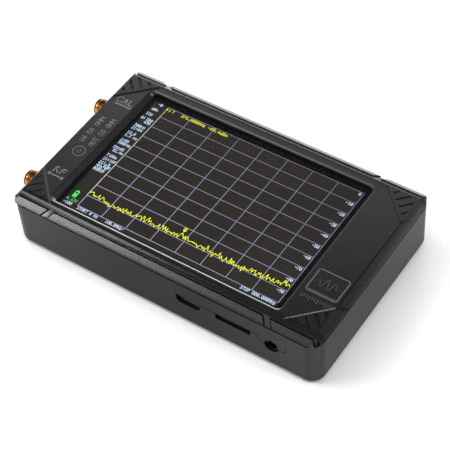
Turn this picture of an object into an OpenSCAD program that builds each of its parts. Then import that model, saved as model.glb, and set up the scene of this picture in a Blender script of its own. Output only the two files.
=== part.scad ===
// Handheld spectrum analyzer with a four-inch landscape screen.
// Frame: millimetres. The origin is the centre of the back face, +X runs towards the
// blank end, -X towards the two coaxial ports, -Y towards the wall with the data and
// audio ports, and +Z out of the screen.

/* [Case] */
// Length of the case, from the coaxial ports' end to the blank end
case_l = 120; // [119:0.5:122]
// Width of the case, from the data ports' wall to the switches' wall
case_w = 72; // [72:0.5:73]
// Height of the case, from the back face to the front rim
case_h = 22; // [22:0.1:22.4]
// Radius of the four upright corners
corner_r = 5; // [5:0.5:6]
// Radius around the back face
back_fillet = 2.3; // [1.5:0.1:2.3]
// Wall thickness of both shells
wall = 2; // [1.9:0.05:2]
// Height of the parting line between the two shells
part_z = 19.1; // [19:0.1:19.2]

/* [Front] */
// Width of the sloped edge on the long sides
long_slope_w = 4; // [3.8:0.1:4.1]
// Width of the sloped edge on the short ends
short_slope_w = 2.4; // [2:0.1:2.8]
// Depth of the middle panel below the front rim
panel_drop = 0.4; // [0.3:0.05:0.5]
// Distance of each corner triangle's long side from the centre, as x + y
triangle_sum = 77.9; // [77:0.1:78.5]
// How far the grip pads stand out of the sloped edges
pad_proud = 0.5; // [0.3:0.1:0.6]

/* [Screen] */
// Size of the screen's glass, along X
glass_l = 95.4; // [95:0.1:95.6]
// Size of the screen's glass, along Y
glass_w = 62; // [61.8:0.1:62.2]
// Depth of the glass below the front rim
glass_drop = 1.6; // [1.5:0.1:1.7]

/* [Board] */
// Thickness of the circuit board
board_t = 1.6; // [1.6:0.1:1.7]
// Height of the circuit board's underside
board_z = 12.75; // [12.7:0.05:12.8]

/* [Ports] */
// Height of the coaxial ports' axis
coax_z = 13.5; // [13.4:0.1:13.6]
// Thread diameter of the coaxial ports, one quarter inch with 36 turns an inch
coax_d = 6.35; // [6.35]
// Place of the signal input along Y
rf_y = -20.8; // [-22:0.1:-20]
// Place of the calibration output along Y
cal_y = 19.2; // [18:0.1:20]
// Place of the USB-C port along X
usb_x = 11.9; // [11:0.1:12.5]
// Place of the memory card slot along X
card_x = 29; // [28.5:0.1:29.2]
// Place of the audio jack along X
jack_x = 43.3; // [43:0.1:43.6]

/* [Switches] */
// Place of the power switch along X
power_x = -30; // [-32:0.5:-28]
// Place of the jog lever along X
jog_x = 25; // [22:0.5:27]

/* [Hidden] */
$fn = 48;

half_l = case_l / 2;
half_w = case_w / 2;
seam = 0.15;            // half of the gap between the shells
eps = 0.01;             // overlap that joins solids of one piece
fit = 0.05;             // gap between pieces that are pushed together
panel_z = case_h - panel_drop;
glass_z = case_h - glass_drop;
gasket_t = 0.3;
plate_z = glass_z + gasket_t;   // underside of the front plate
board_top = board_z + board_t;

// Slopes of the front edges
slope_h = case_h - part_z;
long_tilt = atan2(slope_h, long_slope_w);
short_tilt = atan2(slope_h, short_slope_w);
pad_low = 0.3;          // lower edge of the pads, up the slope
pad_high = 2.85;        // upper edge of the pads, up the slope
groove_w = 0.7;         // groove around the pads' tops and ends
groove_depth = 0.45;
rim_lean = 0.3;         // lean of the step below the long rims
rim_in = 0.15;          // from the slopes to the panel, at the rims
// Lean of the step at the data wall's two triangles, coaxial ports' end first, and at the others
corner_leans = [0.8, 0.7, 0.3];
diagonal_groove_w = 0.4;
pad_end_lean = 0.72;    // lean of the pads' ends against their height
end_groove_in = 0.45;   // from the blank end's slope to the fine groove beside it
end_groove_w = 0.55;
fine_groove_depth = 0.3;
triangle_rim = 0.6;     // from the slopes to the grooves of a triangle
triangle_border = 0.8;  // from a triangle's long side to its grooves
triangle_groove_w = 0.9;
triangle_groove_depth = 0.5;
triangle_pitch = 3.1;
triangle_middle = 12.8; // from the diagonal through X = Y to the middle of the grooves

// Opening for the screen: [low x, low y, high x, high y] at the glass and at the panel
window_low = [-46.1, -28.7, 41.9, 28.7];
window_high = [-48.1, -30.05, 43.2, 29.7];
facet_w = 0.45;         // flatter facet along the opening's outer edge
facet_wide = 0.75;      // the same facet at the coaxial ports' end
facet_far = 0.7;        // the same facet at the switches' side
facet_h = 0.2;
glass_x = 0.7;          // centre of the glass, with the flex tail's margin on the blank side
glass_y = -0.9;

// Corner screws
screw_x = half_l - 6.8;
screw_y = half_w - 6.8;
screw_r = 1.25;
screw_head_r = 2.25;
insert_r = 1.8;
insert_h = 4;

// Ports in the data wall
usb_z = 11.7;
usb_shell = [8.94, 3.2, 6.5];
usb_opening = [9.3, 3.7];
usb_inset = 1.55;       // from the wall's outside to the mouth of the port
card_z = 11.7;
card_size = [11, 15, 0.7];
card_slot = [13.2, 2.6];
card_slot_up = 0.4;     // from the card's middle to the middle of the slot
jack_z = 10.6;
jack_bore_r = 1.8;
jack_hole_r = 2.6;
coax_hole_r = 3.4;

// The front shell's long tab, which closes the port notches: x and z of its outline
tab_left = usb_x - usb_opening[0] / 2;
tab_right = 48.6;
tab_low = 13;           // lower edge of the notch for the tab
tab_deep = jack_z - 0.35;
tab_r = 1.2;            // rounding at the tab's lower corner
tab_gap = 0.25;         // gap below the tab
tab_side_gap = 0.07;    // gap beside the tab
tab_bend = [37.9, 39.2];

// Coaxial jack
coax_flange_x = -half_l + 2.8;  // outer face of the flange, just inside the wall
coax_flange_t = 1.6;
coax_reach = 7.8;               // from the flange's face to the jack's end
coax_insulator_r = 2.05;
coax_pin_r = 0.635;
board_left = coax_flange_x + coax_flange_t;
board_right = half_l - 2.7;
board_y = half_w - 2.5;

// Switches
switch_z = 11;
knob_travel = 2;
lever_y = half_w - 4.8;         // pivot of the jog lever

// ---------- shared shapes ----------

// A rectangle with round corners, about the origin
module plate_outline(l, w, r) {
    square([l - 2 * r, w], center = true);
    square([l, w - 2 * r], center = true);
    for (x = [-1, 1], y = [-1, 1]) {
        translate([x * (l / 2 - r), y * (w / 2 - r)]) circle(r);
    }
}

// A flat plate with round corners, standing on height z
module plate(l, w, r, z, h) {
    translate([0, 0, z]) linear_extrude(h) plate_outline(l, w, r);
}

// A box between two corners
module block(low, high) {
    translate(low) cube([high[0] - low[0], high[1] - low[1], high[2] - low[2]]);
}

// Puts its children at each corner screw
module at_screws() {
    for (x = [-1, 1], y = [-1, 1]) {
        translate([x * screw_x, y * screw_y, 0]) children();
    }
}

// Turns Z to point out of the data wall, at place x and height z
module out_of_data_wall(x, y, z) {
    translate([x, y, z]) rotate([90, 0, 0]) children();
}

// A slot shape with round ends
module stadium(l, w) {
    square([l - w, w], center = true);
    for (x = [-1, 1]) translate([x * (l - w) / 2, 0]) circle(w / 2);
}

// Frame on a sloped edge of the data wall side: Y runs up the slope, Z out of it
module on_long_slope() {
    translate([0, -half_w, part_z]) rotate([long_tilt, 0, 0]) children();
}

module on_short_slope() {
    translate([0, -half_l, part_z]) rotate([short_tilt, 0, 0]) children();
}

// Rounded opening whose upper half is square, where the tab closes it
module usb_outline() {
    stadium(usb_opening[0], usb_opening[1]);
    translate([0, usb_opening[1] / 4]) square([usb_opening[0], usb_opening[1] / 2], center = true);
}

// Every hole that the ports need in the data wall, shared by both shells
module port_openings() {
    out_of_data_wall(usb_x, -half_w + wall + 1, usb_z)
        linear_extrude(wall + 2) usb_outline();
    out_of_data_wall(card_x, -half_w + wall + 1, card_z + card_slot_up)
        linear_extrude(wall + 2) square(card_slot, center = true);
    out_of_data_wall(jack_x, -half_w + wall + 1, jack_z)
        cylinder(r = jack_hole_r, h = wall + 2);
    for (y = [rf_y, cal_y]) {
        translate([-half_l - 1, y, coax_z]) rotate([0, 90, 0]) cylinder(r = coax_hole_r, h = wall + 2);
    }
}

// Outline of the long tab's notch, or of the tab itself when drawn in by the gaps
module tab_outline(side_gap, low_gap) {
    left = tab_left + side_gap;
    right = tab_right - side_gap;
    low = tab_low + low_gap;
    deep = tab_deep + low_gap;
    bend = tab_bend + [low_gap, low_gap] / 2;
    corner = tab_r * (1 - sqrt(0.5));
    polygon([
        [left, part_z + 1], [left, low], [bend[0], low], [bend[1], deep],
        [right - tab_r, deep], [right - corner, deep + corner], [right, deep + tab_r],
        [right, part_z + 1]
    ]);
}

// ---------- case ----------

// The front shell's outside: a round-cornered plate and its tabs, with four sloped edges
module front_block() {
    difference() {
        union() {
            plate(case_l, case_w, corner_r, part_z + seam, slope_h - seam);
            out_of_data_wall(0, -half_w + wall, 0) linear_extrude(wall)
                tab_outline(tab_side_gap, tab_gap);
            for (y = [rf_y, cal_y]) coax_tab(y);
        }
        for (turn = [0, 180]) rotate([0, 0, turn]) on_long_slope()
            block([-case_l, -5, 0], [case_l, 10, 8]);
        for (turn = [90, -90]) rotate([0, 0, turn]) on_short_slope()
            block([-case_l, -5, 0], [case_l, 10, 8]);
    }
}

// The pads on one long side: left end, right end and the way each end leans, up the slope
PADS = [[-44, 40.8, 1, -1], [44, half_l - 0.9, -1, -1], [-half_l + 0.9, -47.1, 1, 1]];

// Their outlines, grown by a gap at the ends and at the top
module pad_outlines(end_gap, top_gap) {
    top = pad_high + top_gap;
    lean = pad_end_lean * (top - pad_low);
    for (pad = PADS) {
        left = pad[0] - end_gap;
        right = pad[1] + end_gap;
        polygon([[left, pad_low], [right, pad_low],
            [right + pad[3] * lean, top], [left + pad[2] * lean, top]]);
    }
}

// Grip pads on one long side, rooted below the grooves around them
module grip_pads() {
    intersection() {
        plate(case_l + 0.9, case_w + 0.9, corner_r + 0.45, part_z + seam, slope_h);
        on_long_slope() translate([0, 0, -groove_depth - 0.1])
            linear_extrude(pad_proud + groove_depth + 0.1) pad_outlines(0, 0);
    }
}

module pad_grooves() {
    on_long_slope() translate([0, 0, -groove_depth]) linear_extrude(2) pad_outlines(0.5, groove_w);
}

// The middle panel's outline, drawn in at the rims and at the triangles
module panel_outline(step, leans) {
    side = half_w - long_slope_w - rim_in - step;
    far = half_l + 1;
    sums = [for (lean = leans) triangle_sum - sqrt(2) * lean];
    polygon([
        [side - sums[0], -side], [sums[1] - side, -side], [far, far - sums[1]],
        [far, sums[2] - far], [sums[2] - side, side], [side - sums[2], side],
        [-far, sums[2] - far], [-far, far - sums[0]]
    ]);
}

// Recess of the middle panel, with a leaning step around it
module panel_recess() {
    hull() {
        translate([0, 0, panel_z]) linear_extrude(eps) panel_outline(rim_lean, corner_leans);
        translate([0, 0, case_h]) linear_extrude(1) panel_outline(0, [0, 0, 0]);
    }
}

// Fine groove at the foot of the step, along one triangle on the switches' side
module diagonal_groove() {
    outer = triangle_sum - sqrt(2) * corner_leans[2];
    inner = outer - sqrt(2) * diagonal_groove_w;
    x = half_l - short_slope_w;
    y = half_w - long_slope_w - rim_in - rim_lean;
    translate([0, 0, panel_z - fine_groove_depth]) linear_extrude(1)
        polygon([[inner - y, y], [outer - y, y], [x, outer - x], [x, inner - x]]);
}

// Fine groove between the panel and the sloped edge of the blank end
module end_groove() {
    x = half_l - short_slope_w - end_groove_in;
    reach = triangle_sum - x;
    block([x, -reach, panel_z - fine_groove_depth], [x + end_groove_w, reach, case_h + 1]);
}

// Four grooves across one corner triangle, at right angles to its long side
module triangle_grooves() {
    rim_x = half_l - short_slope_w - triangle_rim;
    rim_y = half_w - long_slope_w - triangle_rim;
    inner = triangle_sum + triangle_border;
    half = triangle_groove_w / 2;
    low = -triangle_groove_depth;
    intersection() {
        translate([0, 0, case_h + low]) linear_extrude(1)
            polygon([[inner - rim_y, rim_y], [rim_x, inner - rim_x], [rim_x, rim_y]]);
        for (i = [-1.5 : 1 : 1.5]) {
            translate([triangle_sum / 2 + triangle_middle, triangle_sum / 2 - triangle_middle, 0])
                rotate([0, 0, 45]) translate([-20, triangle_pitch * i, case_h])
                rotate([90, 0, 90]) linear_extrude(40) polygon([[-half / 3, low], [half / 3, low],
                    [half, 0], [half, 1], [-half, 1], [-half, 0]]);
        }
    }
}

// Crease across the tab that carries the parting line on
module tab_crease() {
    block([tab_left, -half_w - 1, part_z - seam], [tab_right, -half_w + 0.35, part_z + seam]);
}

// Screen opening: sides that slope down to the glass, with a flatter facet along the top
module screen_window() {
    middle = [window_high[0] + facet_wide, window_high[1] + facet_w,
        window_high[2] - facet_w, window_high[3] - facet_far];
    hull() {
        window_slice(window_low, glass_z, 1.6);
        window_slice(middle, panel_z - facet_h, 2);
    }
    hull() {
        window_slice(middle, panel_z - facet_h, 2);
        window_slice(window_high, panel_z, 2.3);
    }
}

module window_slice(edges, z, r) {
    translate([(edges[0] + edges[2]) / 2, (edges[1] + edges[3]) / 2, z]) linear_extrude(0.02)
        plate_outline(edges[2] - edges[0], edges[3] - edges[1], r, $fn = 32);
}

// Tab that closes the back shell's notch above a coaxial port
module coax_tab(y) {
    difference() {
        block([-half_l, y - coax_hole_r + seam, coax_z],
            [-half_l + wall, y + coax_hole_r - seam, part_z + 1]);
        translate([-half_l - 1, y, coax_z]) rotate([0, 90, 0]) cylinder(r = coax_hole_r, h = wall + 2);
    }
}

module front_shell() {
    color([0.17, 0.17, 0.18]) difference() {
        union() {
            difference() {
                union() {
                    difference() {
                        front_block();
                        for (side = [0, 1]) mirror([0, side, 0]) pad_grooves();
                    }
                    for (side = [0, 1]) mirror([0, side, 0]) grip_pads();
                }
                plate(case_l - 7, case_w - 7.4, 2, part_z - 1, plate_z - part_z + 1);
            }
            difference() {
                plate(case_l - 2 * wall - 0.2, case_w - 2 * wall - 0.2, corner_r - wall - 0.1,
                    part_z - 1.6, 1.9);
                plate(case_l - 2 * wall - 2.2, case_w - 2 * wall - 2.2, corner_r - wall - 1.1,
                    part_z - 2, 3);
            }
            at_screws() translate([0, 0, board_top]) cylinder(r = 2.7, h = plate_z - board_top + eps);
        }
        screen_window();
        panel_recess();
        end_groove();
        for (x = [0, 1]) mirror([x, 0, 0]) diagonal_groove();
        tab_crease();
        for (x = [0, 1], y = [0, 1]) mirror([x, 0, 0]) mirror([0, y, 0]) triangle_grooves();
        port_openings();
        at_screws() translate([0, 0, board_top - 1]) cylinder(r = insert_r, h = insert_h + 1.1);
        at_screws() translate([0, 0, board_top - 1]) cylinder(r = 1.4, h = insert_h + 2.2);
    }
}

// A tub's outside with a rounded lower edge, made of straight and turned pieces
module round_tub(l, w, h, r, f) {
    plate(l, w, r, f, h - f);
    plate(l - 2 * f, w - 2 * f, r - f, 0, f);
    for (y = [-1, 1]) {
        translate([0, y * (w / 2 - f), f]) rotate([0, 90, 0])
            cylinder(r = f, h = l - 2 * r, center = true);
    }
    for (x = [-1, 1]) {
        translate([x * (l / 2 - f), 0, f]) rotate([90, 0, 0])
            cylinder(r = f, h = w - 2 * r, center = true);
    }
    for (x = [-1, 1], y = [-1, 1]) {
        translate([x * (l / 2 - r), y * (w / 2 - r), f])
            rotate_extrude() translate([r - f, 0]) circle(f);
    }
}

module back_shell() {
    color([0.2, 0.2, 0.21]) difference() {
        union() {
            difference() {
                round_tub(case_l, case_w, part_z - seam, corner_r, back_fillet);
                plate(case_l - 2 * wall, case_w - 2 * wall, corner_r - wall, wall, case_h);
            }
            at_screws() translate([0, 0, wall - eps]) cylinder(r = 3.1, h = board_z - wall + eps);
            // Ribs that locate the battery
            for (y = [-1, 1]) block([-34, y * 23.3 - 0.6, wall - eps], [14, y * 23.3 + 0.6, wall + 3]);
            for (x = [-41.3, 21.3]) block([x - 0.6, -16, wall - eps], [x + 0.6, 0, wall + 3]);
        }
        out_of_data_wall(0, -half_w + wall + 1, 0) linear_extrude(wall + 2)
            tab_outline(0, 0);
        port_openings();
        for (y = [rf_y, cal_y]) {
            block([-half_l - 1, y - coax_hole_r, coax_z],
                [-half_l + wall + 0.5, y + coax_hole_r, case_h]);
        }
        at_screws() {
            translate([0, 0, -1]) cylinder(r = 1.45, h = case_h);
            translate([0, 0, -1]) cylinder(r = 2.6, h = 4.4);
        }
        // Slots and finger hollows for the power switch and the jog lever
        block([power_x - 2.6, half_w - wall - 1, switch_z - 1.2],
            [power_x + 2.6, half_w + 1, switch_z + 1.2]);
        block([power_x - 4.6, half_w - 0.8, switch_z - 2], [power_x + 4.6, half_w + 1, switch_z + 2]);
        block([jog_x - 3, half_w - wall - 1, switch_z - 1.4], [jog_x + 3, half_w + 1, switch_z + 1.4]);
        block([jog_x - 6, half_w - 0.8, switch_z - 2.4], [jog_x + 6, half_w + 1, switch_z + 2.4]);
    }
}

module screen_gasket() {
    color([0.08, 0.08, 0.08]) translate([0, 0, glass_z]) linear_extrude(gasket_t) difference() {
        translate([glass_x, glass_y]) square([glass_l, glass_w], center = true);
        translate([window_low[0] - 0.4, window_low[1] - 0.4])
            square([window_low[2] - window_low[0] + 0.8, window_low[3] - window_low[1] + 0.8]);
    }
}

// Four cross-recessed screws, put in from the back
module case_screws() {
    color([0.25, 0.25, 0.26]) at_screws() difference() {
        union() {
            translate([0, 0, 1.4]) cylinder(r = screw_head_r, h = 2);
            translate([0, 0, 3.4 - eps]) cylinder(r = screw_r, h = 14.4);
        }
        for (turn = [0, 90]) rotate([0, 0, turn]) block([-1.3, -0.3, 0], [1.3, 0.3, 2.5]);
    }
}

module threaded_inserts() {
    color([0.8, 0.65, 0.3]) at_screws() translate([0, 0, board_top + 0.05]) difference() {
        union() {
            cylinder(r = insert_r - 0.01, h = 1.6);
            translate([0, 0, 1.6 - eps]) cylinder(r = insert_r - 0.2, h = 0.6);
            translate([0, 0, 2.2 - 2 * eps]) cylinder(r = insert_r - 0.01, h = 1.6);
        }
        translate([0, 0, -1]) cylinder(r = screw_r + 0.01, h = insert_h + 2);
    }
}

// ---------- display ----------

// A block of the glass's outline, drawn in by inset
module display_slab(inset, z, h) {
    translate([glass_x, glass_y, z]) linear_extrude(h)
        square([glass_l - 2 * inset, glass_w - 2 * inset], center = true);
}

module touch_panel() {
    color([0.1, 0.1, 0.11]) display_slab(0, glass_z - 0.5, 0.5);
}

module lcd_cell() {
    color([0.13, 0.12, 0.11]) display_slab(0.7, glass_z - 1.9, 1.3);
}

module light_guide() {
    color([0.9, 0.92, 0.95]) display_slab(0.75, glass_z - 2.85, 0.9);
}

module backlight_frame() {
    color([0.75, 0.76, 0.78]) difference() {
        display_slab(0, glass_z - 3.4, 2.85);
        display_slab(0.6, glass_z - 2.9, 3);
        // Gap in the blank end's wall for the flex tail
        block([glass_x + glass_l / 2 - 1, -16.5, glass_z - 1.2],
            [glass_x + glass_l / 2 + 1, 14.5, glass_z + 1]);
    }
}

// Ribbon that leaves the cell's end, turns down and runs back to its connector
module display_flex() {
    bend_r = 1.65;
    ribbon_t = 0.12;
    end_x = glass_x + glass_l / 2 + 0.2;
    top_z = glass_z - 0.8;
    color([0.75, 0.5, 0.2]) translate([0, 14, 0]) rotate([90, 0, 0]) linear_extrude(30) {
        translate([end_x - 0.85, top_z - ribbon_t]) square([0.85 + eps, ribbon_t]);
        translate([end_x, top_z - bend_r - ribbon_t / 2]) intersection() {
            difference() {
                circle(bend_r + ribbon_t / 2);
                circle(bend_r - ribbon_t / 2);
            }
            translate([0, -3]) square([3, 6]);
        }
        translate([end_x - 4.1, top_z - 2 * bend_r - ribbon_t]) square([4.1 + eps, ribbon_t]);
    }
}

module flex_connector() {
    end_x = glass_x + glass_l / 2 + 0.2;
    color([0.9, 0.88, 0.82]) difference() {
        block([end_x - 7.6, -18, board_top], [end_x - 3, 16, board_top + 2.3]);
        block([end_x - 5.2, -16.2, glass_z - 4.4], [end_x - 2, 14.2, glass_z - 4]);
    }
}

// Four foam pads between the display and the board
module display_pads() {
    color([0.15, 0.15, 0.16]) for (x = [-38, 28], y = [-24, 16]) {
        block([x, y, board_top + 0.02], [x + 10, y + 5, glass_z - 3.42]);
    }
}

// ---------- board ----------

module main_board() {
    color([0.08, 0.22, 0.14]) difference() {
        translate([(board_left + board_right) / 2, 0, 0])
            plate(board_right - board_left, 2 * board_y, 2.5, board_z, board_t);
        at_screws() translate([0, 0, board_z - 1]) cylinder(r = 1.5, h = board_t + 2);
        // Notches that the USB-C port and the audio jack's barrel are sunk into
        block([usb_x - 4.7, -board_y - 1, board_z - 1], [usb_x + 4.7, -half_w + 8.2, board_top + 1]);
        block([jack_x - 2.6, -board_y - 1, board_z - 1], [jack_x + 2.6, -half_w + 3.1, board_top + 1]);
        // Plated slots for the coaxial ports' middle pins
        for (y = [rf_y, cal_y]) {
            block([board_left - 1, y - 0.45, board_z - 1], [board_left + 3.4, y + 0.45, board_top + 1]);
        }
    }
}

// Tin wall around a group of chips, hanging below the board
module shield_frame(low, high) {
    difference() {
        block([low[0], low[1], board_z - 2.5], [high[0], high[1], board_z]);
        block([low[0] + 0.3, low[1] + 0.3, board_z - 3], [high[0] - 0.3, high[1] - 0.3, board_z + 1]);
    }
}

// Tin lid that clips over the wall
module shield_lid(low, high) {
    difference() {
        block([low[0] - 0.3, low[1] - 0.3, board_z - 2.8], [high[0] + 0.3, high[1] + 0.3, board_z - 0.8]);
        block([low[0] - fit, low[1] - fit, board_z - 2.52], [high[0] + fit, high[1] + fit, board_z]);
        for (x = [low[0] + 4 : 4 : high[0] - 3], y = [low[1] + 4 : 4 : high[1] - 3]) {
            translate([x, y, board_z - 3.5]) cylinder(r = 0.6, h = 2);
        }
    }
}

rf_shield = [[-50, -17], [-18, 13]];
synth_shield = [[-13, -6], [13, 22]];

module rf_shield_frame() {
    color([0.78, 0.78, 0.76]) shield_frame(rf_shield[0], rf_shield[1]);
}

module rf_shield_lid() {
    color([0.82, 0.82, 0.8]) shield_lid(rf_shield[0], rf_shield[1]);
}

module synth_shield_frame() {
    color([0.78, 0.78, 0.76]) shield_frame(synth_shield[0], synth_shield[1]);
}

module synth_shield_lid() {
    color([0.82, 0.82, 0.8]) shield_lid(synth_shield[0], synth_shield[1]);
}

// A chip body hanging below the board
module chip_below(x, y, l, w, h) {
    block([x - l / 2, y - w / 2, board_z - h], [x + l / 2, y + w / 2, board_z]);
}

module tuner_chips() {
    color([0.12, 0.12, 0.13]) {
        for (x = [-43, -34, -25]) chip_below(x, -2, 5, 5, 0.9);
        for (x = [-6, 5]) chip_below(x, 1, 4, 4, 0.9);
    }
}

module clock_oscillator() {
    color([0.8, 0.78, 0.6]) chip_below(2, 14, 3.2, 2.5, 1);
}

module processor_chip() {
    color([0.1, 0.1, 0.1]) {
        block([6, -9, board_top + 0.1], [16, 1, board_top + 1.5]);
        // Rows of leads on all four sides
        for (side = [0 : 3], i = [-3 : 3]) {
            translate([11, -4, 0]) rotate([0, 0, 90 * side])
                block([i * 1.3 - 0.25, 5 - eps, board_top], [i * 1.3 + 0.25, 6, board_top + 0.3]);
        }
    }
}

module charger_chip() {
    color([0.1, 0.1, 0.1]) chip_below(44, 8, 4, 4, 0.9);
}

module power_inductor() {
    color([0.3, 0.3, 0.32]) difference() {
        chip_below(44, 18, 6, 6, 3);
        translate([44, 18, board_z - 4]) cylinder(r = 1.6, h = 1.5);
    }
}

// ---------- coaxial ports ----------

// Frame of a coaxial port: Z runs out of the case along the port's axis
module at_coax(y) {
    translate([coax_flange_x, y, coax_z]) rotate([0, -90, 0]) children();
}

// Turned barrel with crests of the 36-turn thread, hollow for the insulator
module coax_jack(y) {
    pitch = 25.4 / 36;
    crest = coax_d / 2;
    root = crest - 0.43;
    first = 2.5;
    turns = 6;
    teeth = [for (i = [0 : turns - 1], p = [[root, 0.04], [crest, 0.24], [crest, 0.4], [root, 0.6]])
        [p[0], first + i * pitch + p[1]]];
    color([0.85, 0.65, 0.25]) {
        at_coax(y) rotate_extrude() polygon(concat(
            [[coax_insulator_r, -coax_flange_t], [root, -coax_flange_t]],
            teeth,
            [[root, coax_reach - 0.55], [crest - 0.15, coax_reach - 0.35], [crest - 0.3, coax_reach],
            [2.4, coax_reach], [2.3, coax_reach - 0.1], [2.3, coax_reach - 1.9],
            [coax_insulator_r, coax_reach - 1.9]]));
        at_coax(y) difference() {
            translate([-3.2, -3.2, -coax_flange_t]) cube([6.4, 6.4, coax_flange_t]);
            translate([0, 0, -coax_flange_t - 1]) cylinder(r = root - 0.2, h = coax_flange_t + 2);
        }
        // Legs soldered above and below the board
        for (side = [-1, 1], z = [board_z - 1.05, board_top + 0.05]) {
            block([board_left - eps, y + side * 2.6 - 0.5, z],
                [board_left + 4, y + side * 2.6 + 0.5, z + 1]);
        }
    }
}

module coax_insulator(y) {
    color([0.95, 0.95, 0.92]) at_coax(y) translate([0, 0, -coax_flange_t]) difference() {
        cylinder(r = coax_insulator_r - 0.01, h = coax_flange_t + coax_reach - 1.9);
        translate([0, 0, -1]) cylinder(r = coax_pin_r + 0.01, h = 12);
    }
}

// Middle contact: a slotted socket outside, a soldering pin inside
module coax_contact(y) {
    color([0.9, 0.72, 0.3]) at_coax(y) difference() {
        union() {
            translate([0, 0, -coax_flange_t])
                cylinder(r = coax_pin_r, h = coax_flange_t + coax_reach - 1.9);
            translate([0, 0, -coax_flange_t - 3]) cylinder(r = 0.38, h = 3 + eps);
        }
        translate([0, 0, coax_reach - 4.4]) cylinder(r = 0.46, h = 4);
        block([-1, -0.09, coax_reach - 3.6], [1, 0.09, coax_reach]);
    }
}

module coax_jack_rf() { coax_jack(rf_y); }
module coax_insulator_rf() { coax_insulator(rf_y); }
module coax_contact_rf() { coax_contact(rf_y); }
module coax_jack_cal() { coax_jack(cal_y); }
module coax_insulator_cal() { coax_insulator(cal_y); }
module coax_contact_cal() { coax_contact(cal_y); }

// ---------- data and audio ports ----------

// Frame at the mouth of the USB-C port: Z runs out of the case
module at_usb() {
    out_of_data_wall(usb_x, -half_w + usb_inset, usb_z) children();
}

module usb_c_shell() {
    depth = usb_shell[2];
    color([0.8, 0.8, 0.82]) at_usb() difference() {
        translate([0, 0, -depth]) linear_extrude(depth) stadium(usb_shell[0], usb_shell[1]);
        translate([0, 0, -depth + 0.3]) linear_extrude(depth)
            stadium(usb_shell[0] - 0.6, usb_shell[1] - 0.6);
    }
}

module usb_c_tongue() {
    depth = usb_shell[2];
    color([0.1, 0.1, 0.1]) at_usb() {
        translate([0, 0, -depth + 0.35]) linear_extrude(1.6)
            stadium(usb_shell[0] - 0.7, usb_shell[1] - 0.7);
        block([-3.34, -0.35, -depth + 1.9], [3.34, 0.35, -0.9]);
    }
}

card_mouth_y = -half_w + wall;
card_back_y = -half_w + 16.2;

module card_socket_base() {
    color([0.12, 0.12, 0.12]) {
        block([card_x - 7.1, card_mouth_y + 0.1, card_z + 0.5],
            [card_x + 7.1, card_back_y + 0.8, board_z]);
        block([card_x - 7.1, card_back_y, card_z - 0.55],
            [card_x + 7.1, card_back_y + 0.8, card_z + 0.55]);
        for (side = [-1, 1]) block([card_x + side * 6.45 - 0.65, card_mouth_y + 0.1, card_z - 0.55],
            [card_x + side * 6.45 + 0.65, card_back_y + eps, card_z + 0.55]);
    }
}

module card_socket_cover() {
    color([0.8, 0.8, 0.8]) difference() {
        block([card_x - 7.35, card_mouth_y + 0.1, card_z - 0.75],
            [card_x + 7.35, card_back_y + 0.8, board_z - 0.02]);
        block([card_x - 7.15, card_mouth_y - 1, card_z - 0.6],
            [card_x + 7.15, card_back_y + 2, board_z + 1]);
        translate([card_x, card_mouth_y + 8, card_z - 2]) cylinder(r = 1.5, h = 3);
    }
}

// Memory card with the side notch and the thick rear edge of its standard
module memory_card() {
    front_y = -half_w + 0.8;
    back_y = front_y + card_size[1];
    low_z = card_z - card_size[2] / 2;
    half = card_size[0] / 2;
    color([0.07, 0.07, 0.08]) {
        translate([card_x, 0, low_z]) linear_extrude(card_size[2]) polygon([
            [-half, front_y], [half, front_y], [half, front_y + 8.6], [half - 0.7, front_y + 9.3],
            [half - 0.7, front_y + 11.4], [half - 1.3, front_y + 12], [half - 1.3, back_y],
            [-half + 0.5, back_y], [-half, back_y - 0.5]
        ]);
        block([card_x - half, front_y, low_z - 0.15], [card_x + half, front_y + 1.6, low_z + eps]);
    }
}

// Frame at the mouth of the audio jack
module at_jack() {
    out_of_data_wall(jack_x, -half_w + 0.9, jack_z) children();
}

module audio_jack_body() {
    color([0.1, 0.1, 0.1]) difference() {
        union() {
            block([jack_x - 3.1, -half_w + 2.2, jack_z - 2.5],
                [jack_x + 3.1, -half_w + 14.2, board_z]);
            at_jack() translate([0, 0, -2]) cylinder(r = 2.4, h = 0.8);
        }
        at_jack() translate([0, 0, -12.2]) cylinder(r = jack_bore_r, h = 13);
        at_jack() translate([0, 0, -1.7]) cylinder(r = 2.2, h = 3);
        // Chambers for the contact springs
        for (side = [-1, 1]) block([jack_x + side * 2.15 - 0.55, -half_w + 6, jack_z - 0.5],
            [jack_x + side * 2.15 + 0.55, -half_w + 12, jack_z + 0.5]);
    }
}

// Metal bushing around the mouth of the audio jack
module audio_jack_bushing() {
    color([0.8, 0.8, 0.8]) at_jack() translate([0, 0, -1.68]) difference() {
        union() {
            cylinder(r = 2.18, h = 1.7);
            translate([0, 0, 0.55]) cylinder(r = 2.5, h = 1.1);
        }
        translate([0, 0, -1]) cylinder(r = jack_bore_r + 0.02, h = 4);
    }
}

module audio_jack_contacts() {
    color([0.8, 0.7, 0.4]) for (side = [-1, 1]) {
        block([jack_x + side * 2.3 - 0.1, -half_w + 6.3, jack_z - 0.4],
            [jack_x + side * 2.3 + 0.1, -half_w + 11.7, jack_z + 0.4]);
    }
}

// ---------- switches ----------

module power_switch_frame() {
    color([0.78, 0.78, 0.78]) difference() {
        block([power_x - 4.3, half_w - 6.8, board_z - 3.5], [power_x + 4.3, half_w - 2.6, board_z]);
        block([power_x - 3.4, half_w - 6.1, switch_z - 1.1],
            [power_x + 3.4, half_w - 3.2, switch_z + 1.1]);
        block([power_x - 2.4, half_w - 4, switch_z - 0.9], [power_x + 2.4, half_w, switch_z + 0.9]);
    }
}

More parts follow.
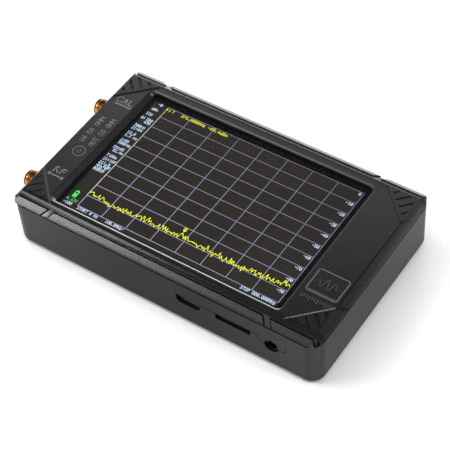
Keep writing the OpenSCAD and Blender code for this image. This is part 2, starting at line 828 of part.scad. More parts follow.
// Slider drawn where the power is on, at the coaxial ports' end of its travel
module power_switch_knob() {
    x = power_x - knob_travel / 2;
    color([0.08, 0.08, 0.08]) {
        block([x - 2, half_w - 5.8, switch_z - 0.95], [x + 2, half_w - 3.4, switch_z + 0.95]);
        block([x - 1, half_w - 3.4 - eps, switch_z - 0.7], [x + 1, half_w + 0.2, switch_z + 0.7]);
        for (i = [-1 : 1]) block([x + i * 0.7 - 0.2, half_w + 0.2 - eps, switch_z - 0.7],
            [x + i * 0.7 + 0.2, half_w + 0.45, switch_z + 0.7]);
    }
}

module jog_switch_body() {
    color([0.1, 0.1, 0.1]) difference() {
        block([jog_x - 5, half_w - 8, board_z - 3.6], [jog_x + 5, half_w - 2.6, board_z]);
        block([jog_x - 3.6, half_w - 7, switch_z - 1.2], [jog_x + 3.6, half_w, switch_z + 1.25]);
    }
}

// Carrier that is pressed in, with the pin that the lever turns on
module jog_slider() {
    color([0.85, 0.85, 0.8]) {
        block([jog_x - 2.6, lever_y - 1.5, switch_z - 1.1],
            [jog_x + 2.6, lever_y + 1.2, switch_z - 0.6]);
        block([jog_x - 2.6, lever_y - 1.5, switch_z - 0.6 - eps],
            [jog_x + 2.6, lever_y - 1.1, switch_z + 0.9]);
        translate([jog_x, lever_y, switch_z - 0.6 - eps]) cylinder(r = 0.5, h = 1.6);
    }
}

module jog_lever() {
    low_z = switch_z - 0.5;
    color([0.08, 0.08, 0.08]) difference() {
        union() {
            translate([jog_x, lever_y, low_z]) cylinder(r = 0.98, h = 1.5);
            block([jog_x - 0.8, lever_y, low_z], [jog_x + 0.8, half_w + 0.6, low_z + 1.5]);
            translate([jog_x, half_w + 0.9, low_z - 0.2]) cylinder(r = 1, h = 1.9);
            block([jog_x - 1.7, half_w + 0.1, low_z - 0.2], [jog_x + 1.7, half_w + 0.9, low_z + 1.7]);
        }
        translate([jog_x, lever_y, low_z - 1]) cylinder(r = 0.55, h = 4);
    }
}

// ---------- battery ----------

module battery_pack() {
    color([0.7, 0.71, 0.73]) {
        translate([-10, 0, wall + 0.3]) linear_extrude(6) plate_outline(58, 44, 2);
        // Folded end with the protection board
        block([18.9, -19, wall + 1.6], [20.4, 19, wall + 5]);
    }
}

module battery_tape() {
    color([0.85, 0.8, 0.6]) for (x = [-34, -4]) {
        block([x, -18, wall], [x + 18, 18, wall + 0.3]);
    }
}

// Two leads from the pack to the plug, each a bent round wire
module battery_wires() {
    color([0.7, 0.1, 0.1]) for (y = [6, 7.6]) {
        translate([20.4, y, 5.5]) rotate([0, 90, 0]) cylinder(r = 0.5, h = 2.1);
        translate([22.5, y, 5.5]) sphere(0.5);
        translate([22.5, y, 5.5]) cylinder(r = 0.5, h = 5);
        translate([22.5, y, 10.5]) sphere(0.5);
        translate([22.5, y, 10.5]) rotate([0, 90, 0]) cylinder(r = 0.5, h = 2);
    }
}

module battery_plug() {
    color([0.92, 0.92, 0.88]) block([24.5, 4.8, 9.4], [28.4, 8.8, 11.6]);
}

module battery_socket() {
    color([0.88, 0.88, 0.84]) difference() {
        block([25.6, 3.8, 8.75], [30, 9.8, board_z]);
        block([25, 4.7, 9.3], [28.5, 8.9, 11.7]);
    }
}

front_shell();
back_shell();
screen_gasket();
case_screws();
threaded_inserts();
touch_panel();
lcd_cell();
light_guide();
backlight_frame();
display_flex();
flex_connector();
display_pads();
main_board();
rf_shield_frame();
rf_shield_lid();
synth_shield_frame();
synth_shield_lid();
tuner_chips();
clock_oscillator();
processor_chip();
charger_chip();
power_inductor();
coax_jack_rf();
coax_insulator_rf();
coax_contact_rf();
coax_jack_cal();
coax_insulator_cal();
coax_contact_cal();
usb_c_shell();
usb_c_tongue();
card_socket_base();
card_socket_cover();
memory_card();
audio_jack_body();
audio_jack_bushing();
audio_jack_contacts();
power_switch_frame();
power_switch_knob();
jog_switch_body();
jog_slider();
jog_lever();
battery_pack();
battery_tape();
battery_wires();
battery_plug();
battery_socket();
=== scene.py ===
"""Looks of the handheld spectrum analyzer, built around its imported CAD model.

Units are metres. The origin is the centre of the back face, +X runs towards the blank
end, -Y towards the wall with the data and audio ports, and +Z out of the screen.
"""

import math
import random

import bmesh
import bpy
from mathutils import Matrix, Vector


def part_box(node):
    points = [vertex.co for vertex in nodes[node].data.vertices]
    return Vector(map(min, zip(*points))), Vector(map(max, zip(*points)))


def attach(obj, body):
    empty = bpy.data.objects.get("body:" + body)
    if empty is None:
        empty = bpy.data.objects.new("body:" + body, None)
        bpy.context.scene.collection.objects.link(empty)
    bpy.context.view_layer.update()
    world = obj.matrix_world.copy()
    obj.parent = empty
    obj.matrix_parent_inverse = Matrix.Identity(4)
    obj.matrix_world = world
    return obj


MM = 0.001

# Measures of the case
HALF_L, HALF_W = 60 * MM, 36 * MM        # half its length and width
SEAM_Z = 19.1 * MM                       # where the front's slopes start
SLOPE_RISE, SLOPE_RUN = 2.9 * MM, 4 * MM  # of the slopes along the long sides
PORT_LIP_Y = -34.45 * MM                 # the USB-C shell's mouth
RIM_Y, PAD_Y = 31.85 * MM, 33.1 * MM     # where the rims and the grip pads start, from the middle
STRIP_Y = -30.6 * MM                     # where the panel's narrow strip at the near rim starts
PORT_END_X = -57.6 * MM                  # where the panel ends, at the ports

ROUGHNESS_SPREAD = 0.08                  # how far a finish's roughness strays each way

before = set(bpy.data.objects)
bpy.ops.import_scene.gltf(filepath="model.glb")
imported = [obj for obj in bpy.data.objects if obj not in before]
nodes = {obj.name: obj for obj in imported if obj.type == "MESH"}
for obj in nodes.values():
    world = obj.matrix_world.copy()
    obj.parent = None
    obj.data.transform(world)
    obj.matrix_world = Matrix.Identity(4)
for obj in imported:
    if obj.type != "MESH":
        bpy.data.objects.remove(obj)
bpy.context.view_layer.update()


# ---------- camera ----------


def add_camera():
    place = Vector((0.20246, -0.25974, 0.38922))
    target = Vector((0.00358, -0.00239, 0.011))
    roll = math.radians(-5.23)
    data = bpy.data.cameras.new("camera")
    data.lens = 120
    data.sensor_width = 36
    data.clip_start = 0.01
    camera = bpy.data.objects.new("camera", data)
    aim = (target - place).to_track_quat("-Z", "Y").to_matrix().to_4x4()
    camera.matrix_world = Matrix.Translation(place) @ aim @ Matrix.Rotation(roll, 4, "Z")
    bpy.context.scene.collection.objects.link(camera)
    bpy.context.scene.camera = camera


# ---------- light and floor ----------


def direction(azimuth, elevation):
    """Unit vector at an azimuth, anticlockwise from +X, and an elevation, in degrees."""
    a, e = math.radians(azimuth), math.radians(elevation)
    return Vector((math.cos(a) * math.cos(e), math.sin(a) * math.cos(e), math.sin(e)))


def softbox(name, azimuth, elevation, distance, width, height, radiance):
    """A rectangular light that faces the object and glows with the given radiance."""
    data = bpy.data.lights.new(name, "AREA")
    data.shape = "RECTANGLE"
    data.size = width
    data.size_y = height
    data.energy = radiance * math.pi * width * height
    light = bpy.data.objects.new(name, data)
    out = direction(azimuth, elevation)
    light.location = out * distance
    light.rotation_euler = (-out).to_track_quat("-Z", "Y").to_euler()
    bpy.context.scene.collection.objects.link(light)


def add_world():
    """A pale surround, bright near the horizon, dim overhead and dimmer towards +X."""
    world = bpy.data.worlds.new("studio")
    world.use_nodes = True
    tree = world.node_tree
    background = tree.nodes["Background"]
    place = tree.nodes.new("ShaderNodeTexCoord").outputs["Generated"]
    sky = tree.nodes.new("ShaderNodeValToRGB")
    horizon, overhead = sky.color_ramp.elements
    horizon.position, horizon.color = 0.0, (1.05, 1.05, 1.05, 1)
    overhead.position, overhead.color = 0.68, (0.14, 0.14, 0.145, 1)
    sky.color_ramp.elements.new(0.4).color = (0.72, 0.72, 0.73, 1)
    tree.links.new(part_of(tree, place, "Z"), sky.inputs[0])
    tree.links.new(sky.outputs[0], background.inputs["Color"])
    tree.links.new(ramp(tree, part_of(tree, place, "X"), -1, 1, 1.25, 0.7),
                   background.inputs["Strength"])
    bpy.context.scene.world = world


def add_floor():
    bm = bmesh.new()
    bmesh.ops.create_grid(bm, x_segments=8, y_segments=8, size=3)
    mesh = bpy.data.meshes.new("floor")
    bm.to_mesh(mesh)
    bm.free()
    floor = bpy.data.objects.new("floor", mesh)
    bpy.context.scene.collection.objects.link(floor)
    floor.data.materials.append(
        surface("floor_paper", (0.88, 0.88, 0.875), 0.6, mottle=0.01, mottle_scale=9,
                grain_scale=900, grain_height=0.00002, specular=0.3))


# ---------- materials ----------


def noise(tree, coordinates, scale, detail=2.0):
    node = tree.nodes.new("ShaderNodeTexNoise")
    node.inputs["Scale"].default_value = scale
    node.inputs["Detail"].default_value = detail
    tree.links.new(coordinates, node.inputs["Vector"])
    return node.outputs["Fac"]


def ramp(tree, value, start, end, low, high):
    """Runs from low to high while the value goes from start to end."""
    node = tree.nodes.new("ShaderNodeMapRange")
    for name, number in (("From Min", start), ("From Max", end), ("To Min", low), ("To Max", high)):
        node.inputs[name].default_value = number
    tree.links.new(value, node.inputs["Value"])
    return node.outputs["Result"]


def above(tree, value, limit, softness=0.05 * MM):
    """1 where the value is above a limit and 0 where it is below, with a soft change."""
    return ramp(tree, value, limit - softness, limit + softness, 0, 1)


def below(tree, value, limit, softness=0.05 * MM):
    """1 where the value is below a limit and 0 where it is above, with a soft change."""
    return ramp(tree, value, limit - softness, limit + softness, 1, 0)


def spread(tree, value, low, high):
    """Maps noise, which stays mostly between 0.3 and 0.7, to a range."""
    return ramp(tree, value, 0.3, 0.7, low, high)


def multiply(tree, first, second):
    node = tree.nodes.new("ShaderNodeMath")
    node.operation = "MULTIPLY"
    tree.links.new(first, node.inputs[0])
    tree.links.new(second, node.inputs[1])
    return node.outputs[0]


def weighted(tree, value, factor, addend):
    """value * factor + addend, where each of the last two is a number or an output."""
    node = tree.nodes.new("ShaderNodeMath")
    node.operation = "MULTIPLY_ADD"
    for socket, term in zip(node.inputs, (value, factor, addend)):
        if isinstance(term, bpy.types.NodeSocket):
            tree.links.new(term, socket)
        else:
            socket.default_value = term
    return node.outputs[0]


def absolute(tree, value):
    node = tree.nodes.new("ShaderNodeMath")
    node.operation = "ABSOLUTE"
    tree.links.new(value, node.inputs[0])
    return node.outputs[0]


def object_place(tree):
    """Coordinates in the CAD frame, because every node's and piece's object is at the origin."""
    return tree.nodes.new("ShaderNodeTexCoord").outputs["Object"]


def part_of(tree, place, axis):
    split = tree.nodes.new("ShaderNodeSeparateXYZ")
    tree.links.new(place, split.inputs[0])
    return split.outputs[axis]


def blend_colors(tree, factor, first, second):
    """Mixes two colours, each a tuple or an output."""
    node = tree.nodes.new("ShaderNodeMix")
    node.data_type = "RGBA"
    tree.links.new(factor, node.inputs["Factor"])
    for socket, color in ((node.inputs[6], first), (node.inputs[7], second)):
        if isinstance(color, bpy.types.NodeSocket):
            tree.links.new(color, socket)
        else:
            socket.default_value = (*color, 1)
    return node.outputs[2]


def new_material(name):
    """A material with its node tree, its shader and its coordinates in the CAD frame."""
    material = bpy.data.materials.new(name)
    material.use_nodes = True
    tree = material.node_tree
    return material, tree, tree.nodes["Principled BSDF"], object_place(tree)


def surface(name, color, roughness, metallic=0.0, specular=0.5, mottle=0.08, mottle_scale=150,
            grain_scale=3000, grain_height=0.00001):
    """A finish with mottled colour, uneven roughness and a fine grain in object space."""
    material, tree, shader, place = new_material(name)
    broad = noise(tree, place, mottle_scale, 4)
    dark = [c * (1 - mottle) for c in color]
    light = [c * (1 + mottle) for c in color]
    tree.links.new(blend_colors(tree, spread(tree, broad, 0, 1), dark, light),
                   shader.inputs["Base Color"])
    fine = noise(tree, place, grain_scale, 2)
    tree.links.new(spread(tree, fine, max(0.02, roughness - ROUGHNESS_SPREAD),
                          min(1, roughness + ROUGHNESS_SPREAD)), shader.inputs["Roughness"])
    bump = tree.nodes.new("ShaderNodeBump")
    bump.inputs["Strength"].default_value = 1.0
    bump.inputs["Distance"].default_value = grain_height
    tree.links.new(fine, bump.inputs["Height"])
    tree.links.new(bump.outputs["Normal"], shader.inputs["Normal"])
    shader.inputs["Metallic"].default_value = metallic
    shader.inputs["Specular IOR Level"].default_value = specular
    return material


def fade_color(material, axis, start, end, color):
    """Fades a finish to another colour while an axis goes from start to end."""
    tree = material.node_tree
    socket = tree.nodes["Principled BSDF"].inputs["Base Color"]
    faded = ramp(tree, part_of(tree, object_place(tree), axis), start, end, 0, 1)
    tree.links.new(blend_colors(tree, faded, socket.links[0].from_socket, color), socket)


def data_wall_shine(tree, place):
    """Factor of the shine: the wall with the data ports is duller, most of all in its middle."""
    wall = below(tree, part_of(tree, place, "Y"), 0.5 * MM - HALF_W, 0.1 * MM)
    from_middle = absolute(tree, part_of(tree, place, "X"))
    dulling = ramp(tree, from_middle, 18 * MM, 52 * MM, -0.62, -0.28)
    return weighted(tree, wall, dulling, 1)


def near_lean_shine(tree, place):
    """Factor of the shine: the leaning borders of the two near corner triangles are duller."""
    outward = absolute(tree, part_of(tree, place, "X"))
    total = weighted(tree, part_of(tree, place, "Y"), -1, outward)   # 76.9 to 77.9 mm on them
    start = ramp(tree, total, 76.7 * MM, 76.8 * MM, 0, 1)
    end = ramp(tree, total, 77.8 * MM, 77.95 * MM, 1, 0)
    return weighted(tree, multiply(tree, start, end), -0.55, 1)


def end_wall_shine(tree, place):
    """Factor of the shine: the blank end's wall is duller towards its top and its near corner."""
    wall = above(tree, part_of(tree, place, "X"), HALF_L - 0.5 * MM, 0.1 * MM)
    height = ramp(tree, part_of(tree, place, "Z"), 5 * MM, 17 * MM, 0, -0.42)
    near = ramp(tree, part_of(tree, place, "Y"), 0, 25 * MM, 1, 0.4)
    return weighted(tree, wall, weighted(tree, height, near, 0), 1)


def deep_in_slopes(tree, place, depth):
    """1 where a point lies deeper than a depth below the sloped faces of the long sides."""
    tilt = math.atan2(SLOPE_RISE, SLOPE_RUN)
    slopes = HALF_W * math.sin(tilt) + SEAM_Z * math.cos(tilt)
    outward = absolute(tree, part_of(tree, place, "Y"))
    across = weighted(tree, outward, math.sin(tilt), -slopes)
    height = weighted(tree, part_of(tree, place, "Z"), math.cos(tilt), across)
    return ramp(tree, height, -depth, -depth * 0.6, 1, 0)


def front_plastic():
    """Satin black: duller rims and walls, coarser and paler pads, and matt grooves round them,
    painted near black as shade. Painted shade also dulls the panel's strip by the near rim, and a
    painted falloff lowers the panel's sheen towards the near right corner.
    """
    material = surface("front_plastic", (0.005, 0.005, 0.0054), 0.26, specular=0.5, mottle=0.15,
                       mottle_scale=90, grain_scale=5200, grain_height=0.000005)
    tree = material.node_tree
    shader = tree.nodes["Principled BSDF"]
    place = object_place(tree)
    outward = absolute(tree, part_of(tree, place, "Y"))
    sloped = above(tree, part_of(tree, place, "Z"), SEAM_Z + 0.1 * MM)
    rim = multiply(tree, above(tree, outward, RIM_Y), sloped)
    outer = multiply(tree, above(tree, outward, PAD_Y), sloped)
    # painted shade: the grooves round the near pads, deeper than 0.08 mm below the slopes, get near
    # black colour and little shine for the shade in them
    groove_shade = multiply(tree, outer, deep_in_slopes(tree, place, 0.08 * MM))
    groove_shade = multiply(tree, groove_shade, below(tree, part_of(tree, place, "Y"), 0, 1 * MM))
    pad = multiply(tree, outer, weighted(tree, groove_shade, -1, 1))
    plain = shader.inputs["Base Color"].links[0].from_socket
    grip = noise(tree, place, 2600, 3)
    pale = blend_colors(tree, spread(tree, grip, 0, 1), (0.006, 0.006, 0.006), (0.03, 0.03, 0.03))
    color = blend_colors(tree, pad, plain, pale)
    # the near black colour of the grooves is painted shade
    tree.links.new(blend_colors(tree, groove_shade, color, (0.001, 0.001, 0.001)),
                   shader.inputs["Base Color"])
    wall = weighted(tree, sloped, -1, 1)
    to_corner = weighted(tree, part_of(tree, place, "Y"), -1, part_of(tree, place, "X"))
    # painted sheen: the panel's shine falls from 0.5 to 0.3 towards the near right corner, copying
    # how the reflected light falls off there
    shine = ramp(tree, to_corner, 30 * MM, 80 * MM, 0.5, 0.3)
    shine = multiply(tree, shine, near_lean_shine(tree, place))
    # painted shade: the panel's narrow strip beside the near rim gets little shine, for the shadow
    # of the rim's step
    shaded_strip = below(tree, part_of(tree, place, "Y"), STRIP_Y, 0.1 * MM)
    end = below(tree, part_of(tree, place, "X"), PORT_END_X, 0.1 * MM)
    # levels of shine: the strip's and the grooves' low levels are painted shade
    for mask, level in ((shaded_strip, 0.15), (rim, 0.23), (end, 0.15), (pad, 0.48), (groove_shade, 0.03),
                        (wall, 0.33)):
        shine = weighted(tree, mask, weighted(tree, shine, -1, level), shine)
    shine = multiply(tree, shine, data_wall_shine(tree, place))
    tree.links.new(shine, shader.inputs["Specular IOR Level"])
    rough = shader.inputs["Roughness"].links[0].from_socket
    rough = weighted(tree, wall, 0.12, rough)
    tree.links.new(weighted(tree, groove_shade, 0.5, rough), shader.inputs["Roughness"])
    return material


def glowing(name, color, strength, fades=False):
    """
    A lit dot pattern: the colour of a screen's dots, with a faint unevenness. One that fades is
    dimmer towards the switches and the blank end.
    """
    material, tree, shader, place = new_material(name)
    uneven = spread(tree, noise(tree, place, 700), 0, 1)
    dark = [c * 0.85 for c in color]
    tree.links.new(blend_colors(tree, uneven, dark, color), shader.inputs["Emission Color"])
    shader.inputs["Emission Strength"].default_value = strength
    if fades:
        upward = ramp(tree, part_of(tree, place, "Y"), *GRID_SPAN_Y, 1.55, 0.47)
        along = ramp(tree, part_of(tree, place, "X"), *GRID_SPAN_X, 1.24, 0.65)
        tree.links.new(weighted(tree, multiply(tree, upward, along), strength, 0),
                       shader.inputs["Emission Strength"])
    shader.inputs["Base Color"].default_value = (*[c * 0.3 for c in color], 1)
    shader.inputs["Roughness"].default_value = 0.6
    shader.inputs["Specular IOR Level"].default_value = 0.05
    return material


def lit_cell():
    """The display cell: a dark glow in the picture area and black around it."""
    material = surface("lcd_cell", (0.006, 0.006, 0.006), 0.35, specular=0.02, grain_scale=2500)
    tree = material.node_tree
    shader = tree.nodes["Principled BSDF"]
    place = object_place(tree)
    x, y = part_of(tree, place, "X"), part_of(tree, place, "Y")
    inside = above(tree, x, PICTURE_LEFT)
    for side in (below(tree, x, PICTURE_RIGHT), above(tree, y, PICTURE_LOW),
                 below(tree, y, PICTURE_TOP)):
        inside = multiply(tree, inside, side)
    cloud = spread(tree, noise(tree, place, 35), 0, 1)
    glow = blend_colors(tree, cloud, (0.0235, 0.0205, 0.0172), (0.0275, 0.024, 0.02))
    tree.links.new(blend_colors(tree, inside, (0.0005, 0.0005, 0.0005), glow),
                   shader.inputs["Emission Color"])
    shader.inputs["Emission Strength"].default_value = 1.0
    return material


def clear_glass():
    """The touch panel: clear, with a soft reflection on its outside only and a faint tint."""
    material, tree, shader, place = new_material("screen_glass")
    smear = noise(tree, place, 45, 3)
    tree.links.new(blend_colors(tree, spread(tree, smear, 0, 1), (0.002, 0.002, 0.002),
                                (0.004, 0.004, 0.004)), shader.inputs["Base Color"])
    shader.inputs["Roughness"].default_value = 0.05
    clear = tree.nodes.new("ShaderNodeBsdfTransparent")
    clear.inputs["Color"].default_value = (0.97, 0.97, 0.97, 1)
    mix = tree.nodes.new("ShaderNodeMixShader")
    facing = tree.nodes.new("ShaderNodeFresnel")
    facing.inputs["IOR"].default_value = 1.3
    leaving = tree.nodes.new("ShaderNodeNewGeometry").outputs["Backfacing"]
    outside = weighted(tree, leaving, -1, 1)
    tree.links.new(multiply(tree, facing.outputs[0], outside), mix.inputs[0])
    tree.links.new(clear.outputs[0], mix.inputs[1])
    tree.links.new(shader.outputs[0], mix.inputs[2])
    tree.links.new(mix.outputs[0], tree.nodes["Material Output"].inputs["Surface"])
    return material


# ---------- mesh helpers ----------

# Corners 0 to 3 of a box go round its underside anticlockwise, and 4 to 7 round its top
BOX_FACES = ((3, 2, 1, 0), (4, 5, 6, 7), (0, 1, 5, 4), (1, 2, 6, 5), (2, 3, 7, 6), (3, 0, 4, 7))


def add_piece(name, points, faces, material):
    """A mesh object that moves with the case."""
    mesh = bpy.data.meshes.new(name)
    mesh.from_pydata(points, [], faces)
    mesh.update()
    mesh.materials.append(material)
    piece = bpy.data.objects.new(name, mesh)
    bpy.context.scene.collection.objects.link(piece)
    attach(piece, "case")


def add_boxes(name, boxes, material):
    """One piece of the picture, made of thin boxes, each (low corner, high corner) in metres."""
    points, faces = [], []
    for low, high in boxes:
        first = len(points)
        for z in (low[2], high[2]):
            points += [(low[0], low[1], z), (high[0], low[1], z), (high[0], high[1], z),
                       (low[0], high[1], z)]
        for face in BOX_FACES:
            faces.append([first + i for i in face])
    add_piece(name, points, faces, material)


def prism(points, faces, outline, low_z, high_z):
    """Adds a flat solid with the given outline, anticlockwise seen from above."""
    first, count = len(points), len(outline)
    points += [(x, y, low_z) for x, y in outline] + [(x, y, high_z) for x, y in outline]
    faces.append([first + count + i for i in range(count)])
    faces.append([first + i for i in reversed(range(count))])
    for i in range(count):
        j = (i + 1) % count
        faces.append([first + i, first + j, first + count + j, first + count + i])


# ---------- the picture on the screen ----------

DOT = 0.174 * MM                       # one dot of the 480 x 320 picture
cell_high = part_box("lcd_cell")[1]
glass_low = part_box("touch_panel")[0]
ORIGIN_X = -43.5 * MM                  # where dots are counted from, to the right and down
ORIGIN_Y = 26.1 * MM
PICTURE_LEFT = ORIGIN_X - 5.2 * DOT    # edges of the lit area
PICTURE_RIGHT = ORIGIN_X + 480.5 * DOT
PICTURE_TOP = ORIGIN_Y + 3 * DOT
PICTURE_LOW = ORIGIN_Y - 312 * DOT
PICTURE_Z = (cell_high.z + glass_low.z) / 2
GRID_LEFT = 28.2                       # in dots, as all measures of the picture below
GRID_TOP = -1.6
GRID_STEP = 56.5
ROW_STEP = 30.28
GRID_ROWS, GRID_COLUMNS = 10, 8
GRID_RIGHT = 480
GRID_SPAN_X = -38.6 * MM, 40 * MM      # where its lines start and end, in the CAD frame
GRID_SPAN_Y = -26.3 * MM, 26.4 * MM
TRACE_STEP = 1.9
MARKER_X, MARKER_Y = 241, 254

# Lettering of the screen, five dots wide and seven high, with rows parted by slashes
GLYPHS = {
    "0": ".###./#...#/#..##/#.#.#/##..#/#...#/.###.",
    "1": "..#../.##../..#../..#../..#../..#../.###.",
    "2": ".###./#...#/....#/...#./..#../.#.../#####",
    "3": "#####/...#./..#../...#./....#/#...#/.###.",
    "4": "...#./..##./.#.#./#..#./#####/...#./...#.",
    "5": "#####/#..../####./....#/....#/#...#/.###.",
    "6": "..##./.#.../#..../####./#...#/#...#/.###.",
    "7": "#####/....#/...#./..#../.#.../.#.../.#...",
    "8": ".###./#...#/#...#/.###./#...#/#...#/.###.",
    "9": ".###./#...#/#...#/.####/....#/...#./.##..",
    "-": "...../...../...../#####/...../...../.....",
    ".": "...../...../...../...../...../.##../.##..",
    ":": "...../.##../.##../...../.##../.##../.....",
    "/": "...../....#/...#./..#../.#.../#..../.....",
    "M": "#...#/##.##/#.#.#/#.#.#/#...#/#...#/#...#",
    "H": "#...#/#...#/#...#/#####/#...#/#...#/#...#",
    "V": "#...#/#...#/#...#/#...#/#...#/.#.#./..#..",
    "B": "####./#...#/#...#/####./#...#/#...#/####.",
    "d": "....#/....#/.##.#/#..##/#...#/#...#/.####",
    "S": ".####/#..../#..../.###./....#/....#/####.",
    "T": "#####/..#../..#../..#../..#../..#../..#..",
    "A": ".###./#...#/#...#/#####/#...#/#...#/#...#",
    "R": "####./#...#/#...#/####./#.#../#..#./#...#",
    "O": ".###./#...#/#...#/#...#/#...#/#...#/.###.",
    "P": "####./#...#/#...#/####./#..../#..../#....",
    "m": "...../...../##.#./#.#.#/#.#.#/#...#/#...#",
    "k": "#..../#..../#..#./#.#../##.../#.#../#..#.",
    "s": "...../...../.####/#..../.###./....#/####.",
    "z": "...../...../#####/...#./..#../.#.../#####",
    ">": "#..../##.../###../####./###../##.../#....",
}
MARKER = "#######/#..#..#/#.##..#/#..#..#/#..#..#/#.###.#/#######/.#####./..###../...#..."
BATTERY = ("..####../..####../.######./########/###..###/##....##/##....##/##....##/###..###/"
           "########/########/########/########/########/########/########/########/########")


# Words left of the grid: dots down, dots from the left, text
SIDE_WORDS = ((-2.6, 5, "-0"), (13, 0, "dBm"), (28.6, -3, "12d"), (43.6, -4.5, "0:"),
              (43.6, 8, "300"), (52, 8, "450"), (67, -4.5, "300kH"), (76, -4.5, "21:04"),
              (90.5, -4.5, "12.8"), (99, -4.5, "1.3 ms"), (114, -4.5, "1:05"),
              (122.3, -4, "300kHz"), (137, -4.5, "S4:05"), (145.8, 0, "52.4s"),
              (161.2, -3.5, "T100s"), (172.5, -3.5, "21:16P"), (183, -4.5, "1:1.0"),
              (190.2, -4.5, "32.0dB"), (197.2, -4.5, "2:0.5"), (203.6, -4.5, "0dBm5"))


def dot_box(left, top, width, height):
    """A thin box over some dots of the picture."""
    x = ORIGIN_X + left * DOT
    y = ORIGIN_Y - top * DOT
    half = 0.008 * MM
    return ((x, y - height * DOT, PICTURE_Z - half), (x + width * DOT, y, PICTURE_Z + half))


def bitmap(art, left, top, width=1.0):
    """Boxes for the filled runs of a small picture whose rows are parted by slashes."""
    boxes = []
    for row, line in enumerate(art.split("/")):
        start = None
        for column, mark in enumerate(line + "."):
            if mark == "#" and start is None:
                start = column
            if mark != "#" and start is not None:
                boxes.append(dot_box(left + start * width, top + row, (column - start) * width, 1))
                start = None
    return boxes


def words(text, left, top, pitch=5.0):
    """A line of lettering, with pitch dots from one letter to the next."""
    boxes = []
    for i, letter in enumerate(text):
        if letter != " ":
            boxes += bitmap(GLYPHS[letter], left + pitch * i, top, pitch / 6)
    return boxes


# The noise floor's mean height along the picture: dots from the left, dots down
FLOOR_SHAPE = ((28, 259), (45, 263), (75, 268), (110, 268), (150, 264.5), (235, 264), (245, 261),
               (290, 264), (345, 268), (400, 265), (440, 262), (480, 257))


def floor_height(x):
    for (x0, y0), (x1, y1) in zip(FLOOR_SHAPE, FLOOR_SHAPE[1:]):
        if x <= x1:
            return y0 + (y1 - y0) * (x - x0) / (x1 - x0)
    return FLOOR_SHAPE[-1][1]


def trace():
    """The noise floor as upright strokes, one for each step, with one small peak."""
    draw = random.Random(7)
    count = int((GRID_RIGHT - GRID_LEFT) / TRACE_STEP)
    heights = []
    for i in range(count + 1):
        x = GRID_LEFT + i * TRACE_STEP
        heights.append(floor_height(x) + max(-9, min(9, draw.gauss(0, 3.6))))
        if abs(x - MARKER_X) < 2:
            heights[-1] = MARKER_Y + abs(x - MARKER_X) * 2
    boxes = []
    for i, (first, second) in enumerate(zip(heights, heights[1:])):
        low, high = min(first, second), max(first, second)
        half = (high - low) / 2
        x = GRID_LEFT + i * TRACE_STEP
        lead, tail = (low, low + half) if first < second else (low + half, low)
        boxes.append(dot_box(x, lead, TRACE_STEP / 2, half + 1))
        boxes.append(dot_box(x + TRACE_STEP / 2, tail, TRACE_STEP / 2, half + 1))
    return boxes


def add_picture():
    grid = []
    bottom = GRID_TOP + GRID_ROWS * ROW_STEP
    for i in range(GRID_COLUMNS + 1):
        grid.append(dot_box(GRID_LEFT - 0.5 + i * GRID_STEP, GRID_TOP, 1.3, bottom - GRID_TOP))
    for i in range(GRID_ROWS + 1):
        grid.append(dot_box(GRID_LEFT, GRID_TOP + i * ROW_STEP - 0.5, GRID_RIGHT - GRID_LEFT, 1.2))
    add_boxes("picture_grid", grid, glowing("dots_grid", (0.41, 0.4, 0.58), 0.5, fades=True))
    add_boxes("picture_axis", [dot_box(GRID_LEFT - 1, 0, 1.8, 9 * ROW_STEP)],
              glowing("dots_axis", (0.95, 0.92, 0.62), 0.78))
    yellow = words(">1", 27, 1, 6) + words("T", 41, 1, 6) + words("376.000MHz -85.4dBm", 63, 1, 5.9)
    yellow += bitmap(MARKER, MARKER_X - 4, MARKER_Y - 12)
    add_boxes("picture_trace", trace() + yellow, glowing("dots_yellow", (0.93, 0.93, 0.04), 0.95))
    blue = []
    for i in range(GRID_ROWS):
        label = str(-10 * i)
        blue += words(label, 477 - 5 * len(label), GRID_TOP + i * ROW_STEP + 2)
    for top, left, text in SIDE_WORDS:
        blue += words(text, left, top)
    blue += words("-100", -2.6, 301.2)
    blue += words("START 0 Hz", 31, 302.4, 4.95) + words("100.0MHz/", 98, 302.4, 4.8)
    blue += words("STOP 800.000MHz", 402.8, 302.4)
    add_boxes("picture_labels", blue, glowing("dots_blue", (0.62, 0.79, 1.0), 1.1))
    green = bitmap(BATTERY, 3.6, 270, 1.1) + words("4.12V", -2.6, 291.2)
    add_boxes("picture_battery", green, glowing("dots_green", (0.1, 0.85, 0.15), 0.78))


# ---------- printed marks on the front ----------

INK_LOW, INK_HIGH = 21.59 * MM, 21.62 * MM    # the panel's top is at 21.6 mm


def strokes(points, faces, paths, width):
    """Adds flat ribbons along paths, each a list of (x, y) in millimetres."""
    half = width / 2
    for path in paths:
        for (x0, y0), (x1, y1) in zip(path, path[1:]):
            length = math.hypot(x1 - x0, y1 - y0)
            ux, uy = (x1 - x0) / length * half, (y1 - y0) / length * half
            outline = [(x0 - ux + uy, y0 - uy - ux), (x1 + ux + uy, y1 + uy - ux),
                       (x1 + ux - uy, y1 + uy + ux), (x0 - ux - uy, y0 - uy + ux)]
            prism(points, faces, [(x * MM, y * MM) for x, y in outline], INK_LOW, INK_HIGH)


